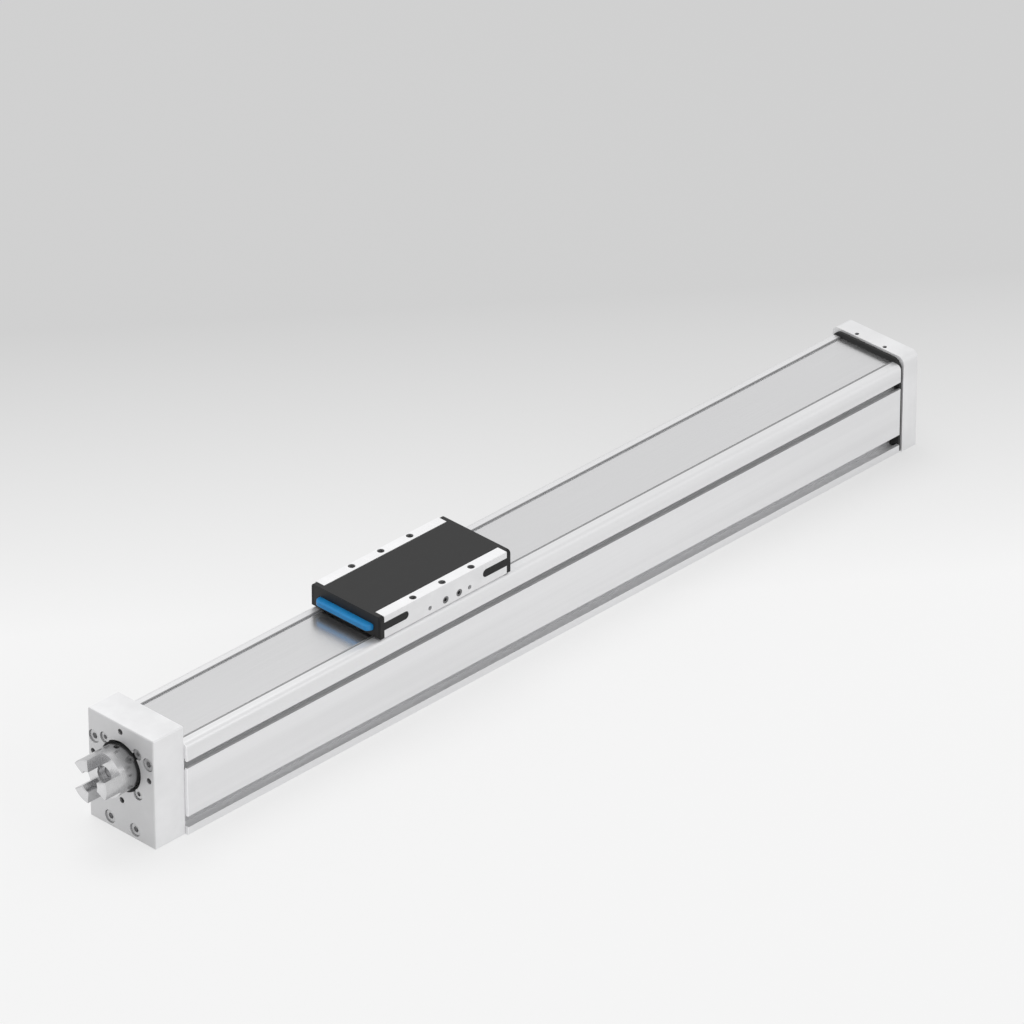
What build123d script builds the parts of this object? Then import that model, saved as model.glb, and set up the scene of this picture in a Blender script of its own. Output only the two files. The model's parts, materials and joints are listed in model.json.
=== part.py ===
from build123d import *
import math
import os

os.makedirs("parts", exist_ok=True)

# Frame: X along the axis from the drive end, Y across, Z up from the base face, origin at mid-profile

# Angles that name themselves
full_turn = 360
half_turn = 180
upward = 90
downward = -90

# Running and seating clearances
run_gap = 0.05
seat_gap = 0.02
free_gap = 0.3

# Profile envelope
profile_length = 668.0
profile_width = 64.0
profile_height = 67.7
profile_top_radius = 4.0
profile_foot_radius = 0.8

# Cover strip and its seat
strip_width = 44.4
strip_thickness = 0.3
strip_seat_z = 66.9
strip_recess_width = 46.8
strip_edge_groove = 1.5
strip_edge_depth = 1.2
top_slot_width = 29.6
magnet_width = 4.0
magnet_thickness = 1.8
magnet_offset = 18.6
magnet_end_gap = 3.0

# Cavity inside the profile
cavity_floor_z = 20.0
cavity_width = 47.0
cavity_step_z = 56.2
cavity_neck_width = 42.0
ledge_bottom_z = 62.5
chamber_width = 16.0
chamber_low_z = 8.6
chamber_high_z = 15.5

# Side slots
sensor_slot_z = 52.3
sensor_slot_opening = 5.2
sensor_slot_inside = 8.4
sensor_slot_lip = 1.8
sensor_slot_depth = 6.1
foot_slot_z = 9.85
foot_slot_opening = 8.0
foot_slot_inside = 13.4
foot_slot_lip = 2.6
foot_slot_depth = 9.0

# Screw axis and spindle
axis_z = 50.0
spindle_radius = 6.0
bearing_journal_radius = 5.0
coupling_journal_radius = 4.0
far_journal_radius = 4.0
spindle_chamfer = 0.6

# Drive cover
drive_cover_length = 27.0
drive_cover_width = 60.0
drive_cover_height = 80.8
drive_cover_edge = 0.8
recess_radius = 18.0
recess_depth = 9.0
lobe_radius = 4.0
lobe_circle_radius = 21.0
lobe_count = 4
lobe_first_angle = 45.0
bearing_radius = 13.0
bearing_width = 14.0
inner_ring_radius = 7.6
cover_shaft_hole_radius = 9.5
motor_thread_circle = 51.0
motor_thread_count = 4
motor_thread_radius = 2.1
motor_thread_depth = 10.0

# Hexagon sockets
hex_sides = 6

# Cover screws, one set for both ends
cover_screw_radius = 2.5
cover_screw_hole_radius = 2.75
cover_screw_core_radius = 2.52
cover_screw_head_radius = 4.25
cover_screw_head_height = 5.0
cover_screw_bore_radius = 4.7
cover_screw_bore_depth = 6.0
cover_screw_grip = 12.0
cover_screw_high = (24.6, 61.5)
cover_screw_low = (11.5, 7.2)
cover_screw_socket = 2.3
cover_screw_socket_depth = 2.6

# Bearing retainer
retainer_thickness = 4.0
retainer_hole_radius = 9.6
retainer_screw_radius = 2.0
retainer_screw_hole_radius = 2.2
retainer_screw_head_radius = 3.5
retainer_screw_head_height = 4.0
retainer_screw_length = 11.0
retainer_screw_socket = 1.75
retainer_screw_socket_depth = 2.0
locknut_radius = 9.0
locknut_width = 5.0
locknut_slot_width = 3.0
locknut_slot_depth = 1.6
locknut_slot_count = 4

# Coupling hub with three claws
hub_radius = 16.0
hub_set_in = 2.5
hub_length = 17.0
claw_length = 14.0
claw_inner_radius = 7.5
claw_angle = 48.0
claw_count = 3
claw_edge = 0.7
hub_relief_radius = 6.5
hub_relief_depth = 4.0
hub_edge = 0.6
shaft_end_set_back = 0.5
set_screw_radius = 2.0
set_screw_sink = 1.0
set_screw_offset = 6.0
set_screw_socket = 1.0

# End gasket and end cover
gasket_thickness = 2.0
gasket_width = 61.8
gasket_height = 71.0
gasket_corner_radius = 7.5
gasket_lift = 0.3
gasket_window_width = 40.0
gasket_window_low_z = 24.0
gasket_window_high_z = 60.0
end_corner_radius = 5.0
end_cover_length = 14.8
end_cover_width = 65.0
end_cover_height = 72.8
end_cover_back_chamfer = 0.8
end_bearing_radius = 11.0
end_bearing_width = 7.0
end_bearing_set_in = 1.5
end_inner_ring_radius = 6.8
end_relief_radius = 8.0
end_relief_depth = 3.5
circlip_radius = 5.6
circlip_thickness = 1.0
circlip_gap_angle = 40.0
far_journal_overhang = 2.8

# Strip clamp in the end cover and strip anchor in the drive cover
clamp_bar_length = 4.8
clamp_bar_width = 40.0
clamp_bar_thickness = 2.4
clamp_pocket_length = 6.0
clamp_screw_radius = 1.5
clamp_screw_offset_x = 2.6
clamp_screw_offset_y = 12.7
clamp_screw_sink = 0.5
clamp_screw_socket = 0.8
anchor_length = 6.0
anchor_thickness = 2.8
anchor_width = 40.0
anchor_pocket_length = 8.0
anchor_pocket_rise = 2.4
anchor_screw_radius = 1.5
anchor_screw_offset_y = 12.0
anchor_head_radius = 2.7
anchor_head_height = 1.2

# Guide rail and its screws
rail_width = 24.0
rail_height = 9.0
rail_end_gap = 4.0
rail_groove_depth = 0.8
rail_groove_height = 3.0
rail_screw_margin = 34.0
rail_screw_count = 7
rail_screw_radius = 1.5
rail_screw_hole_radius = 1.75
rail_screw_head_radius = 2.75
rail_screw_head_height = 3.0
rail_screw_bore_radius = 3.0
rail_screw_bore_depth = 4.0
rail_screw_grip = 4.0

# Guide blocks
block_width = 40.0
block_length = 42.0
block_lift = 4.0
block_spacing = 52.0
block_seal_thickness = 2.5
block_seal_step = 0.5
block_screw_offset_x = 11.0
block_screw_offset_y = 16.8
block_screw_radius = 1.5
block_screw_hole_radius = 1.7
block_screw_head_radius = 2.7
block_screw_head_height = 3.0
block_screw_grip = 5.0

# Carriage body
carriage_rest_x = -101.2
slide_length = 118.9
slide_width = 63.0
slide_top_z = 84.8
skirt_bottom_z = 68.7
cap_plate_thickness = 3.4
carriage_foot_z = 36.0
wing_top_z = 42.0
neck_width = 27.6
neck_margin = 1.0
neck_top_z = 65.5
web_length = 68.0
web_top_z = 72.5
cover_width = 46.8
cover_thickness = 3.5
cover_ledge_width = 2.5
cover_ledge_thickness = 2.8
screw_bore_radius = 7.5
tongue_low_z = 74.3
tongue_high_z = 80.2
tongue_depth = 4.2
top_thread_radius = 2.5
top_thread_depth = 8.0
top_thread_pitch = 26.6
top_thread_spacing = 55.8
port_z = 73.0
port_radius = 2.6
port_depth = 3.0
port_positions = (-0.2, 12.2)
pin_hole_radius = 1.6
pin_hole_depth = 4.0
pin_hole_positions = (-14.5, 21.8)
flange_edge = 0.5

# Carriage end caps and bumpers
cap_corner_radius = 2.5
cap_edge = 0.4
bumper_low_z = 72.9
bumper_high_z = 77.7
bumper_width = 49.6
bumper_reach = 5.0
bumper_corner_radius = 4.4
bumper_edge = 1.0

# Strip lift over the carriage
strip_lift = 6.7
lift_start = 56.0
lift_end = 35.0
deflector_gap = 0.4
deflector_width = 27.0

# Clearances of the black plastic pieces
cover_side_gap = 0.15
tongue_gap = 0.1
port_socket = 1.3

# Ball nut
nut_radius = 11.0
nut_length = 38.0
nut_flange_thickness = 6.0
nut_flange_radius = 17.5
nut_flange_height = 30.6
nut_screw_offset_y = 8.2
nut_screw_offset_z = 11.4
nut_screw_radius = 2.0
nut_screw_hole_radius = 2.2
nut_screw_head_radius = 3.4
nut_screw_head_height = 3.0
nut_screw_grip = 9.0

# Derived stations along X
profile_start_x = -profile_length / 2
profile_end_x = profile_length / 2
drive_face_x = profile_start_x - drive_cover_length
recess_floor_x = drive_face_x + recess_depth
bearing_end_x = recess_floor_x + bearing_width
end_cover_x = profile_end_x + gasket_thickness
end_bearing_x = end_cover_x + end_bearing_set_in
end_bearing_end_x = end_bearing_x + end_bearing_width
end_face_x = end_cover_x + end_cover_length
hub_back_x = drive_face_x + hub_set_in
hub_face_x = hub_back_x - hub_length
claw_tip_x = hub_face_x - claw_length
shaft_end_x = hub_face_x + hub_relief_depth + shaft_end_set_back
locknut_x = recess_floor_x - locknut_width

# Derived heights and half sizes
half_profile = profile_width / 2
half_slide = slide_width / 2
half_slide_length = slide_length / 2
half_cover = cover_width / 2
body_end = half_slide_length - cap_plate_thickness
strip_top_z = strip_seat_z + strip_thickness
cover_seat_z = slide_top_z - cover_thickness
tongue_middle_z = (tongue_low_z + tongue_high_z) / 2
tongue_radius = (tongue_high_z - tongue_low_z) / 2
neck_length = block_spacing + block_length + 2 * neck_margin
rail_screw_pitch = (profile_length - 2 * rail_screw_margin) / (rail_screw_count - 1)
rail_top_z = cavity_floor_z + rail_height
block_bottom_z = cavity_floor_z + block_lift
cover_screw_points = [
    (cover_screw_high[0], cover_screw_high[1]),
    (-cover_screw_high[0], cover_screw_high[1]),
    (cover_screw_low[0], cover_screw_low[1]),
    (-cover_screw_low[0], cover_screw_low[1]),
]
rail_screw_points = [
    ((i - (rail_screw_count - 1) / 2) * rail_screw_pitch, 0) for i in range(rail_screw_count)
]


# Profile: one extruded section with strip seat, cavity, screw channels and slots
sensor_slot = (
    sensor_slot_z, sensor_slot_opening, sensor_slot_inside, sensor_slot_lip, sensor_slot_depth
)
foot_slot = (foot_slot_z, foot_slot_opening, foot_slot_inside, foot_slot_lip, foot_slot_depth)

with BuildPart() as profile:
    with BuildSketch(Plane.YZ.offset(profile_start_x)) as profile_section:
        with Locations((0, profile_height / 2)):
            Rectangle(profile_width, profile_height)
        fillet(profile_section.vertices().group_by(Axis.Y)[-1], profile_top_radius)
        fillet(profile_section.vertices().group_by(Axis.Y)[0], profile_foot_radius)
        with Locations((0, (cavity_floor_z + cavity_step_z) / 2)):
            Rectangle(cavity_width, cavity_step_z - cavity_floor_z, mode=Mode.SUBTRACT)
        with Locations((0, (cavity_step_z + ledge_bottom_z) / 2)):
            Rectangle(cavity_neck_width, ledge_bottom_z - cavity_step_z, mode=Mode.SUBTRACT)
        with Locations((0, (ledge_bottom_z + strip_seat_z) / 2)):
            Rectangle(top_slot_width, strip_seat_z - ledge_bottom_z, mode=Mode.SUBTRACT)
        with Locations((0, (strip_seat_z + profile_height) / 2)):
            Rectangle(strip_recess_width, profile_height - strip_seat_z, mode=Mode.SUBTRACT)
        for side in (-1, 1):
            groove_y = side * (strip_recess_width - strip_edge_groove) / 2
            with Locations((groove_y, strip_seat_z - strip_edge_depth / 2)):
                Rectangle(strip_edge_groove, strip_edge_depth, mode=Mode.SUBTRACT)
            with Locations((side * magnet_offset, strip_seat_z - magnet_thickness / 2)):
                Rectangle(magnet_width, magnet_thickness, mode=Mode.SUBTRACT)
            for slot_z, opening, inside, lip, depth in (sensor_slot, foot_slot):
                with Locations((side * (half_profile - lip / 2), slot_z)):
                    Rectangle(lip, opening, mode=Mode.SUBTRACT)
                with Locations((side * (half_profile - (lip + depth) / 2), slot_z)):
                    Rectangle(depth - lip, inside, mode=Mode.SUBTRACT)
        with Locations((0, (chamber_low_z + chamber_high_z) / 2)):
            Rectangle(chamber_width, chamber_high_z - chamber_low_z, mode=Mode.SUBTRACT)
        with Locations(cover_screw_points):
            Circle(cover_screw_core_radius, mode=Mode.SUBTRACT)
    extrude(amount=profile_length)
    with Locations(Plane.XY.offset(cavity_floor_z)):
        with Locations(rail_screw_points):
            Hole(rail_screw_radius + seat_gap, depth=cavity_floor_z - chamber_high_z)
profile.part.label = "profile"
export_step(profile.part, "parts/profile.step")


# Magnet strips: two bars let into the ledges under the cover strip
with BuildPart() as magnet_strips:
    with BuildSketch(Plane.YZ.offset(profile_start_x + magnet_end_gap)):
        for side in (-1, 1):
            with Locations((side * magnet_offset, strip_seat_z - magnet_thickness / 2)):
                Rectangle(magnet_width - 2 * seat_gap, magnet_thickness)
    extrude(amount=profile_length - 2 * magnet_end_gap)
magnet_strips.part.label = "magnet_strips"
export_step(magnet_strips.part, "parts/magnet_strips.step")


# Cover strip: steel band lying in the recess and lifted over the carriage web
strip_start_x = profile_start_x - anchor_length
strip_end_x = end_cover_x + clamp_bar_length
lift_run = lift_start - lift_end
bend_radius = (lift_run**2 + strip_lift**2) / (4 * strip_lift)
bend_angle = math.degrees(math.asin(lift_run / 2 / bend_radius))
mid_z = strip_seat_z + strip_thickness / 2
low_bend_z = mid_z + bend_radius
high_bend_z = mid_z + strip_lift - bend_radius
inner_bend = bend_radius - strip_thickness / 2
outer_bend = bend_radius + strip_thickness / 2
front_low_x = carriage_rest_x - lift_start
front_high_x = carriage_rest_x - lift_end
rear_high_x = carriage_rest_x + lift_end
rear_low_x = carriage_rest_x + lift_start
with BuildPart() as cover_strip:
    with BuildSketch(Plane.XZ):
        with BuildLine():
            bottom_front = Line((strip_start_x, strip_seat_z), (front_low_x, strip_seat_z))
            bf1 = CenterArc((front_low_x, low_bend_z), outer_bend, downward, bend_angle)
            bf2 = CenterArc((front_high_x, high_bend_z), inner_bend, upward + bend_angle, -bend_angle)
            crest = Line(bf2 @ 1, (rear_high_x, strip_seat_z + strip_lift))
            br1 = CenterArc((rear_high_x, high_bend_z), inner_bend, upward, -bend_angle)
            br2 = CenterArc((rear_low_x, low_bend_z), outer_bend, downward - bend_angle, bend_angle)
            bottom_rear = Line(br2 @ 1, (strip_end_x, strip_seat_z))
            rear_edge = Line(bottom_rear @ 1, (strip_end_x, strip_top_z))
            top_rear = Line(rear_edge @ 1, (rear_low_x, strip_top_z))
            tr2 = CenterArc((rear_low_x, low_bend_z), inner_bend, downward, -bend_angle)
            tr1 = CenterArc((rear_high_x, high_bend_z), outer_bend, upward - bend_angle, bend_angle)
            top_crest = Line(tr1 @ 1, (front_high_x, strip_top_z + strip_lift))
            tf2 = CenterArc((front_high_x, high_bend_z), outer_bend, upward, bend_angle)
            tf1 = CenterArc((front_low_x, low_bend_z), inner_bend, downward + bend_angle, -bend_angle)
            top_front = Line(tf1 @ 1, (strip_start_x, strip_top_z))
            front_edge = Line(top_front @ 1, (strip_start_x, strip_seat_z))
        make_face()
    extrude(amount=strip_width / 2, both=True)
    with Locations(Plane.XY.offset(strip_top_z)):
        with Locations(
            (profile_start_x - anchor_length / 2, anchor_screw_offset_y),
            (profile_start_x - anchor_length / 2, -anchor_screw_offset_y),
        ):
            Hole(anchor_screw_radius + seat_gap, depth=2 * strip_thickness)
cover_strip.part.label = "cover_strip"
export_step(cover_strip.part, "parts/cover_strip.step")


# Drive cover: block with bearing seat, four-lobed recess and strip anchor pocket
lobe_angles = [
    math.radians(lobe_first_angle + i * full_turn / lobe_count) for i in range(lobe_count)
]
lobe_centres = [
    (lobe_circle_radius * math.cos(a), axis_z + lobe_circle_radius * math.sin(a))
    for a in lobe_angles
]
thread_angles = [
    math.radians(i * full_turn / motor_thread_count) for i in range(motor_thread_count)
]
motor_threads = [
    (motor_thread_circle / 2 * math.cos(a), axis_z + motor_thread_circle / 2 * math.sin(a))
    for a in thread_angles
]
anchor_bottom_z = strip_seat_z - anchor_thickness
with BuildPart() as drive_cover:
    with BuildSketch(Plane.YZ.offset(drive_face_x)):
        with Locations((0, drive_cover_height / 2)):
            Rectangle(drive_cover_width, drive_cover_height)
    extrude(amount=drive_cover_length)
    chamfer(drive_cover.edges(), drive_cover_edge)
    with BuildSketch(Plane.YZ.offset(drive_face_x)):
        with Locations((0, axis_z)):
            Circle(recess_radius)
        with Locations(lobe_centres):
            Circle(lobe_radius)
    extrude(amount=recess_depth, mode=Mode.SUBTRACT)
    with BuildSketch(Plane.YZ.offset(recess_floor_x)):
        with Locations((0, axis_z)):
            Circle(bearing_radius + seat_gap)
    extrude(amount=bearing_width, mode=Mode.SUBTRACT)
    with BuildSketch(Plane.YZ.offset(bearing_end_x)):
        with Locations((0, axis_z)):
            Circle(cover_shaft_hole_radius)
    extrude(amount=profile_start_x - bearing_end_x, mode=Mode.SUBTRACT)
    with BuildSketch(Plane.YZ.offset(recess_floor_x)):
        with Locations(lobe_centres):
            Circle(retainer_screw_radius + seat_gap)
    extrude(amount=retainer_screw_length, mode=Mode.SUBTRACT)
    with BuildSketch(Plane.YZ.offset(drive_face_x)):
        with Locations(motor_threads):
            Circle(motor_thread_radius)
    extrude(amount=motor_thread_depth, mode=Mode.SUBTRACT)
    with BuildSketch(Plane.YZ.offset(drive_face_x)):
        with Locations(cover_screw_points):
            Circle(cover_screw_bore_radius)
    extrude(amount=cover_screw_bore_depth, mode=Mode.SUBTRACT)
    with BuildSketch(Plane.YZ.offset(drive_face_x)):
        with Locations(cover_screw_points):
            Circle(cover_screw_hole_radius)
    extrude(amount=drive_cover_length, mode=Mode.SUBTRACT)
    with BuildSketch(Plane.YZ.offset(profile_start_x)):
        with Locations((0, (anchor_bottom_z + strip_top_z + anchor_pocket_rise) / 2)):
            Rectangle(
                strip_width + 2 * free_gap, strip_top_z + anchor_pocket_rise - anchor_bottom_z
            )
    extrude(amount=-anchor_pocket_length, mode=Mode.SUBTRACT)
drive_cover.part.label = "drive_cover"
export_step(drive_cover.part, "parts/drive_cover.step")


# Drive cover screws: four socket cap screws in counterbores
with BuildPart() as drive_cover_screws:
    with BuildSketch(Plane.YZ.offset(drive_face_x + cover_screw_bore_depth)):
        with Locations(cover_screw_points):
            Circle(cover_screw_head_radius)
    extrude(amount=-cover_screw_head_height)
    with BuildSketch(Plane.YZ.offset(drive_face_x + cover_screw_bore_depth)):
        with Locations(cover_screw_points):
            Circle(cover_screw_radius)
    extrude(amount=drive_cover_length - cover_screw_bore_depth + cover_screw_grip)
    drive_head_x = drive_face_x + cover_screw_bore_depth - cover_screw_head_height
    with BuildSketch(Plane.YZ.offset(drive_head_x)):
        with Locations(cover_screw_points):
            RegularPolygon(cover_screw_socket, hex_sides)
    extrude(amount=cover_screw_socket_depth, mode=Mode.SUBTRACT)
drive_cover_screws.part.label = "drive_cover_screws"
export_step(drive_cover_screws.part, "parts/drive_cover_screws.step")


# Fixed bearing: outer ring with shields in the cover, inner ring on the spindle
with BuildPart() as fixed_bearing_outer_ring:
    with BuildSketch(Plane.YZ.offset(recess_floor_x)):
        with Locations((0, axis_z)):
            Circle(bearing_radius)
            Circle(inner_ring_radius + run_gap, mode=Mode.SUBTRACT)
    extrude(amount=bearing_width)
fixed_bearing_outer_ring.part.label = "fixed_bearing_outer_ring"
export_step(fixed_bearing_outer_ring.part, "parts/fixed_bearing_outer_ring.step")

with BuildPart() as fixed_bearing_inner_ring:
    with BuildSketch(Plane.YZ.offset(recess_floor_x)):
        with Locations((0, axis_z)):
            Circle(inner_ring_radius)
            Circle(bearing_journal_radius + seat_gap, mode=Mode.SUBTRACT)
    extrude(amount=bearing_width)
fixed_bearing_inner_ring.part.label = "fixed_bearing_inner_ring"
export_step(fixed_bearing_inner_ring.part, "parts/fixed_bearing_inner_ring.step")


# Bearing retainer: four-eared plate seated in the recess
with BuildPart() as bearing_retainer:
    with BuildSketch(Plane.YZ.offset(recess_floor_x - retainer_thickness)):
        with Locations((0, axis_z)):
            Circle(recess_radius - free_gap)
        with Locations(lobe_centres):
            Circle(lobe_radius - free_gap)
        with Locations((0, axis_z)):
            Circle(retainer_hole_radius, mode=Mode.SUBTRACT)
        with Locations(lobe_centres):
            Circle(retainer_screw_hole_radius, mode=Mode.SUBTRACT)
    extrude(amount=retainer_thickness)
bearing_retainer.part.label = "bearing_retainer"
export_step(bearing_retainer.part, "parts/bearing_retainer.step")

with BuildPart() as retainer_screws:
    retainer_face_x = recess_floor_x - retainer_thickness
    with BuildSketch(Plane.YZ.offset(retainer_face_x)):
        with Locations(lobe_centres):
            Circle(retainer_screw_head_radius)
    extrude(amount=-retainer_screw_head_height)
    with BuildSketch(Plane.YZ.offset(retainer_face_x)):
        with Locations(lobe_centres):
            Circle(retainer_screw_radius)
    extrude(amount=retainer_screw_length)
    with BuildSketch(Plane.YZ.offset(retainer_face_x - retainer_screw_head_height)):
        with Locations(lobe_centres):
            RegularPolygon(retainer_screw_socket, hex_sides)
    extrude(amount=retainer_screw_socket_depth, mode=Mode.SUBTRACT)
retainer_screws.part.label = "retainer_screws"
export_step(retainer_screws.part, "parts/retainer_screws.step")


# Ball screw spindle: stepped shaft, the thread itself is cut in the visual model
with BuildPart() as ball_screw:
    with BuildSketch(Plane.YZ.offset(bearing_end_x)):
        with Locations((0, axis_z)):
            Circle(spindle_radius)
    extrude(amount=end_bearing_x - bearing_end_x)
    with BuildSketch(Plane.YZ.offset(locknut_x)):
        with Locations((0, axis_z)):
            Circle(bearing_journal_radius)
    extrude(amount=bearing_end_x - locknut_x)
    with BuildSketch(Plane.YZ.offset(shaft_end_x)):
        with Locations((0, axis_z)):
            Circle(coupling_journal_radius)
    extrude(amount=locknut_x - shaft_end_x)
    chamfer(ball_screw.edges().group_by(Axis.X)[0], spindle_chamfer)
    with BuildSketch(Plane.YZ.offset(end_bearing_x)):
        with Locations((0, axis_z)):
            Circle(far_journal_radius)
    extrude(amount=end_bearing_width + far_journal_overhang)
    chamfer(ball_screw.edges().group_by(Axis.X)[-1], spindle_chamfer)
ball_screw.part.label = "ball_screw"
export_step(ball_screw.part, "parts/ball_screw.step")


# Bearing locknut: slotted ring nut in front of the inner ring
with BuildPart() as bearing_locknut:
    with BuildSketch(Plane.YZ.offset(locknut_x)):
        with Locations((0, axis_z)):
            Circle(locknut_radius)
            Circle(bearing_journal_radius + seat_gap, mode=Mode.SUBTRACT)
        with Locations((0, axis_z)):
            with PolarLocations(locknut_radius, locknut_slot_count):
                Rectangle(2 * locknut_slot_depth, locknut_slot_width, mode=Mode.SUBTRACT)
    extrude(amount=locknut_width)
bearing_locknut.part.label = "bearing_locknut"
export_step(bearing_locknut.part, "parts/bearing_locknut.step")


# Coupling hub: round hub with three claws around a clear centre
claw_pitch = full_turn / claw_count
set_screw_x = hub_back_x - set_screw_offset
with BuildPart() as coupling_hub:
    with BuildSketch(Plane.YZ.offset(hub_face_x)):
        with Locations((0, axis_z)):
            Circle(hub_radius)
    extrude(amount=hub_length)
    chamfer(coupling_hub.edges().group_by(Axis.X)[-1], hub_edge)
    with BuildSketch(Plane.YZ.offset(claw_tip_x)):
        with Locations((0, axis_z)):
            Circle(hub_radius)
            Circle(claw_inner_radius, mode=Mode.SUBTRACT)
        for claw in range(claw_count):
            gap_start = half_turn - claw * claw_pitch + claw_angle / 2
            with BuildLine():
                gap_arc = CenterArc((0, axis_z), 2 * hub_radius, gap_start, claw_pitch - claw_angle)
                Line((0, axis_z), gap_arc @ 0)
                Line(gap_arc @ 1, (0, axis_z))
            make_face(mode=Mode.SUBTRACT)
    extrude(amount=claw_length)
    chamfer(coupling_hub.edges().group_by(Axis.X)[0], claw_edge)
    with BuildSketch(Plane.YZ.offset(hub_face_x)):
        with Locations((0, axis_z)):
            Circle(hub_relief_radius)
    extrude(amount=hub_relief_depth, mode=Mode.SUBTRACT)
    with BuildSketch(Plane.YZ.offset(hub_face_x)):
        with Locations((0, axis_z)):
            Circle(coupling_journal_radius + seat_gap)
    extrude(amount=hub_length, mode=Mode.SUBTRACT)
    with BuildSketch(Plane.XY.offset(axis_z)):
        with Locations((set_screw_x, 0)):
            Circle(set_screw_radius + seat_gap)
    extrude(amount=hub_radius, mode=Mode.SUBTRACT)
coupling_hub.part.label = "coupling_hub"
export_step(coupling_hub.part, "parts/coupling_hub.step")

with BuildPart() as coupling_set_screw:
    with BuildSketch(Plane.XY.offset(axis_z + coupling_journal_radius + seat_gap)):
        with Locations((set_screw_x, 0)):
            Circle(set_screw_radius)
    extrude(amount=hub_radius - coupling_journal_radius - seat_gap - set_screw_sink)
    with BuildSketch(Plane.XY.offset(axis_z + hub_radius - set_screw_sink)):
        with Locations((set_screw_x, 0)):
            RegularPolygon(set_screw_socket, hex_sides)
    extrude(amount=-set_screw_radius, mode=Mode.SUBTRACT)
coupling_set_screw.part.label = "coupling_set_screw"
export_step(coupling_set_screw.part, "parts/coupling_set_screw.step")


# End gasket: seal plate between profile and end cover
with BuildPart() as end_gasket:
    with BuildSketch(Plane.YZ.offset(profile_end_x)) as gasket_section:
        with Locations((0, (gasket_lift + gasket_height) / 2)):
            Rectangle(gasket_width, gasket_height - gasket_lift)
        fillet(gasket_section.vertices().group_by(Axis.Y)[-1], gasket_corner_radius)
        with Locations((0, (gasket_window_low_z + gasket_window_high_z) / 2)):
            Rectangle(
                gasket_window_width, gasket_window_high_z - gasket_window_low_z, mode=Mode.SUBTRACT
            )
        with Locations(cover_screw_points):
            Circle(cover_screw_hole_radius, mode=Mode.SUBTRACT)
        with Locations((0, strip_seat_z + strip_thickness / 2)):
            Rectangle(
                strip_width + 2 * free_gap, strip_thickness + 2 * seat_gap, mode=Mode.SUBTRACT
            )
    extrude(amount=gasket_thickness)
end_gasket.part.label = "end_gasket"
export_step(end_gasket.part, "parts/end_gasket.step")


# End cover: block with floating bearing seat, strip clamp pocket and bevelled back
clamp_screw_x = end_cover_x + clamp_screw_offset_x
clamp_points = [(clamp_screw_x, clamp_screw_offset_y), (clamp_screw_x, -clamp_screw_offset_y)]
with BuildPart() as end_cover:
    with BuildSketch(Plane.YZ.offset(end_cover_x)) as end_section:
        with Locations((0, end_cover_height / 2)):
            Rectangle(end_cover_width, end_cover_height)
        fillet(end_section.vertices().group_by(Axis.Y)[-1], end_corner_radius)
    extrude(amount=end_cover_length)
    chamfer(end_cover.edges().group_by(Axis.X)[-1], end_cover_back_chamfer)
    with BuildSketch(Plane.YZ.offset(end_cover_x)):
        with Locations((0, axis_z)):
            Circle(end_bearing_radius + seat_gap)
    extrude(amount=end_bearing_set_in + end_bearing_width, mode=Mode.SUBTRACT)
    with BuildSketch(Plane.YZ.offset(end_bearing_end_x)):
        with Locations((0, axis_z)):
            Circle(end_relief_radius)
    extrude(amount=end_relief_depth, mode=Mode.SUBTRACT)
    with BuildSketch(Plane.YZ.offset(end_cover_x)):
        with Locations(cover_screw_points):
            Circle(cover_screw_hole_radius)
    extrude(amount=end_cover_length, mode=Mode.SUBTRACT)
    with BuildSketch(Plane.YZ.offset(end_face_x)):
        with Locations(cover_screw_points):
            Circle(cover_screw_bore_radius)
    extrude(amount=-cover_screw_bore_depth, mode=Mode.SUBTRACT)
    with BuildSketch(Plane.YZ.offset(end_cover_x)):
        with Locations((0, strip_seat_z + (strip_thickness + clamp_bar_thickness + free_gap) / 2)):
            Rectangle(
                strip_width + 2 * free_gap, strip_thickness + clamp_bar_thickness + free_gap
            )
    extrude(amount=clamp_pocket_length, mode=Mode.SUBTRACT)
    with BuildSketch(Plane.XY.offset(end_cover_height)):
        with Locations(clamp_points):
            Circle(clamp_screw_radius + seat_gap)
    extrude(amount=strip_top_z + clamp_bar_thickness - end_cover_height, mode=Mode.SUBTRACT)
end_cover.part.label = "end_cover"
export_step(end_cover.part, "parts/end_cover.step")

with BuildPart() as end_cover_screws:
    with BuildSketch(Plane.YZ.offset(end_face_x - cover_screw_bore_depth)):
        with Locations(cover_screw_points):
            Circle(cover_screw_head_radius)
    extrude(amount=cover_screw_head_height)
    with BuildSketch(Plane.YZ.offset(end_face_x - cover_screw_bore_depth)):
        with Locations(cover_screw_points):
            Circle(cover_screw_radius)
    extrude(
        amount=-(end_face_x - cover_screw_bore_depth - profile_end_x + cover_screw_grip)
    )
    end_head_x = end_face_x - cover_screw_bore_depth + cover_screw_head_height
    with BuildSketch(Plane.YZ.offset(end_head_x)):
        with Locations(cover_screw_points):
            RegularPolygon(cover_screw_socket, hex_sides)
    extrude(amount=-cover_screw_socket_depth, mode=Mode.SUBTRACT)
end_cover_screws.part.label = "end_cover_screws"
export_step(end_cover_screws.part, "parts/end_cover_screws.step")


# Strip clamp: bar and two set screws holding the far end of the cover strip
with BuildPart() as strip_clamp_bar:
    with BuildSketch(Plane.XY.offset(strip_top_z)):
        with Locations((end_cover_x + clamp_bar_length / 2, 0)):
            Rectangle(clamp_bar_length, clamp_bar_width)
    extrude(amount=clamp_bar_thickness)
strip_clamp_bar.part.label = "strip_clamp_bar"
export_step(strip_clamp_bar.part, "parts/strip_clamp_bar.step")

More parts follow.
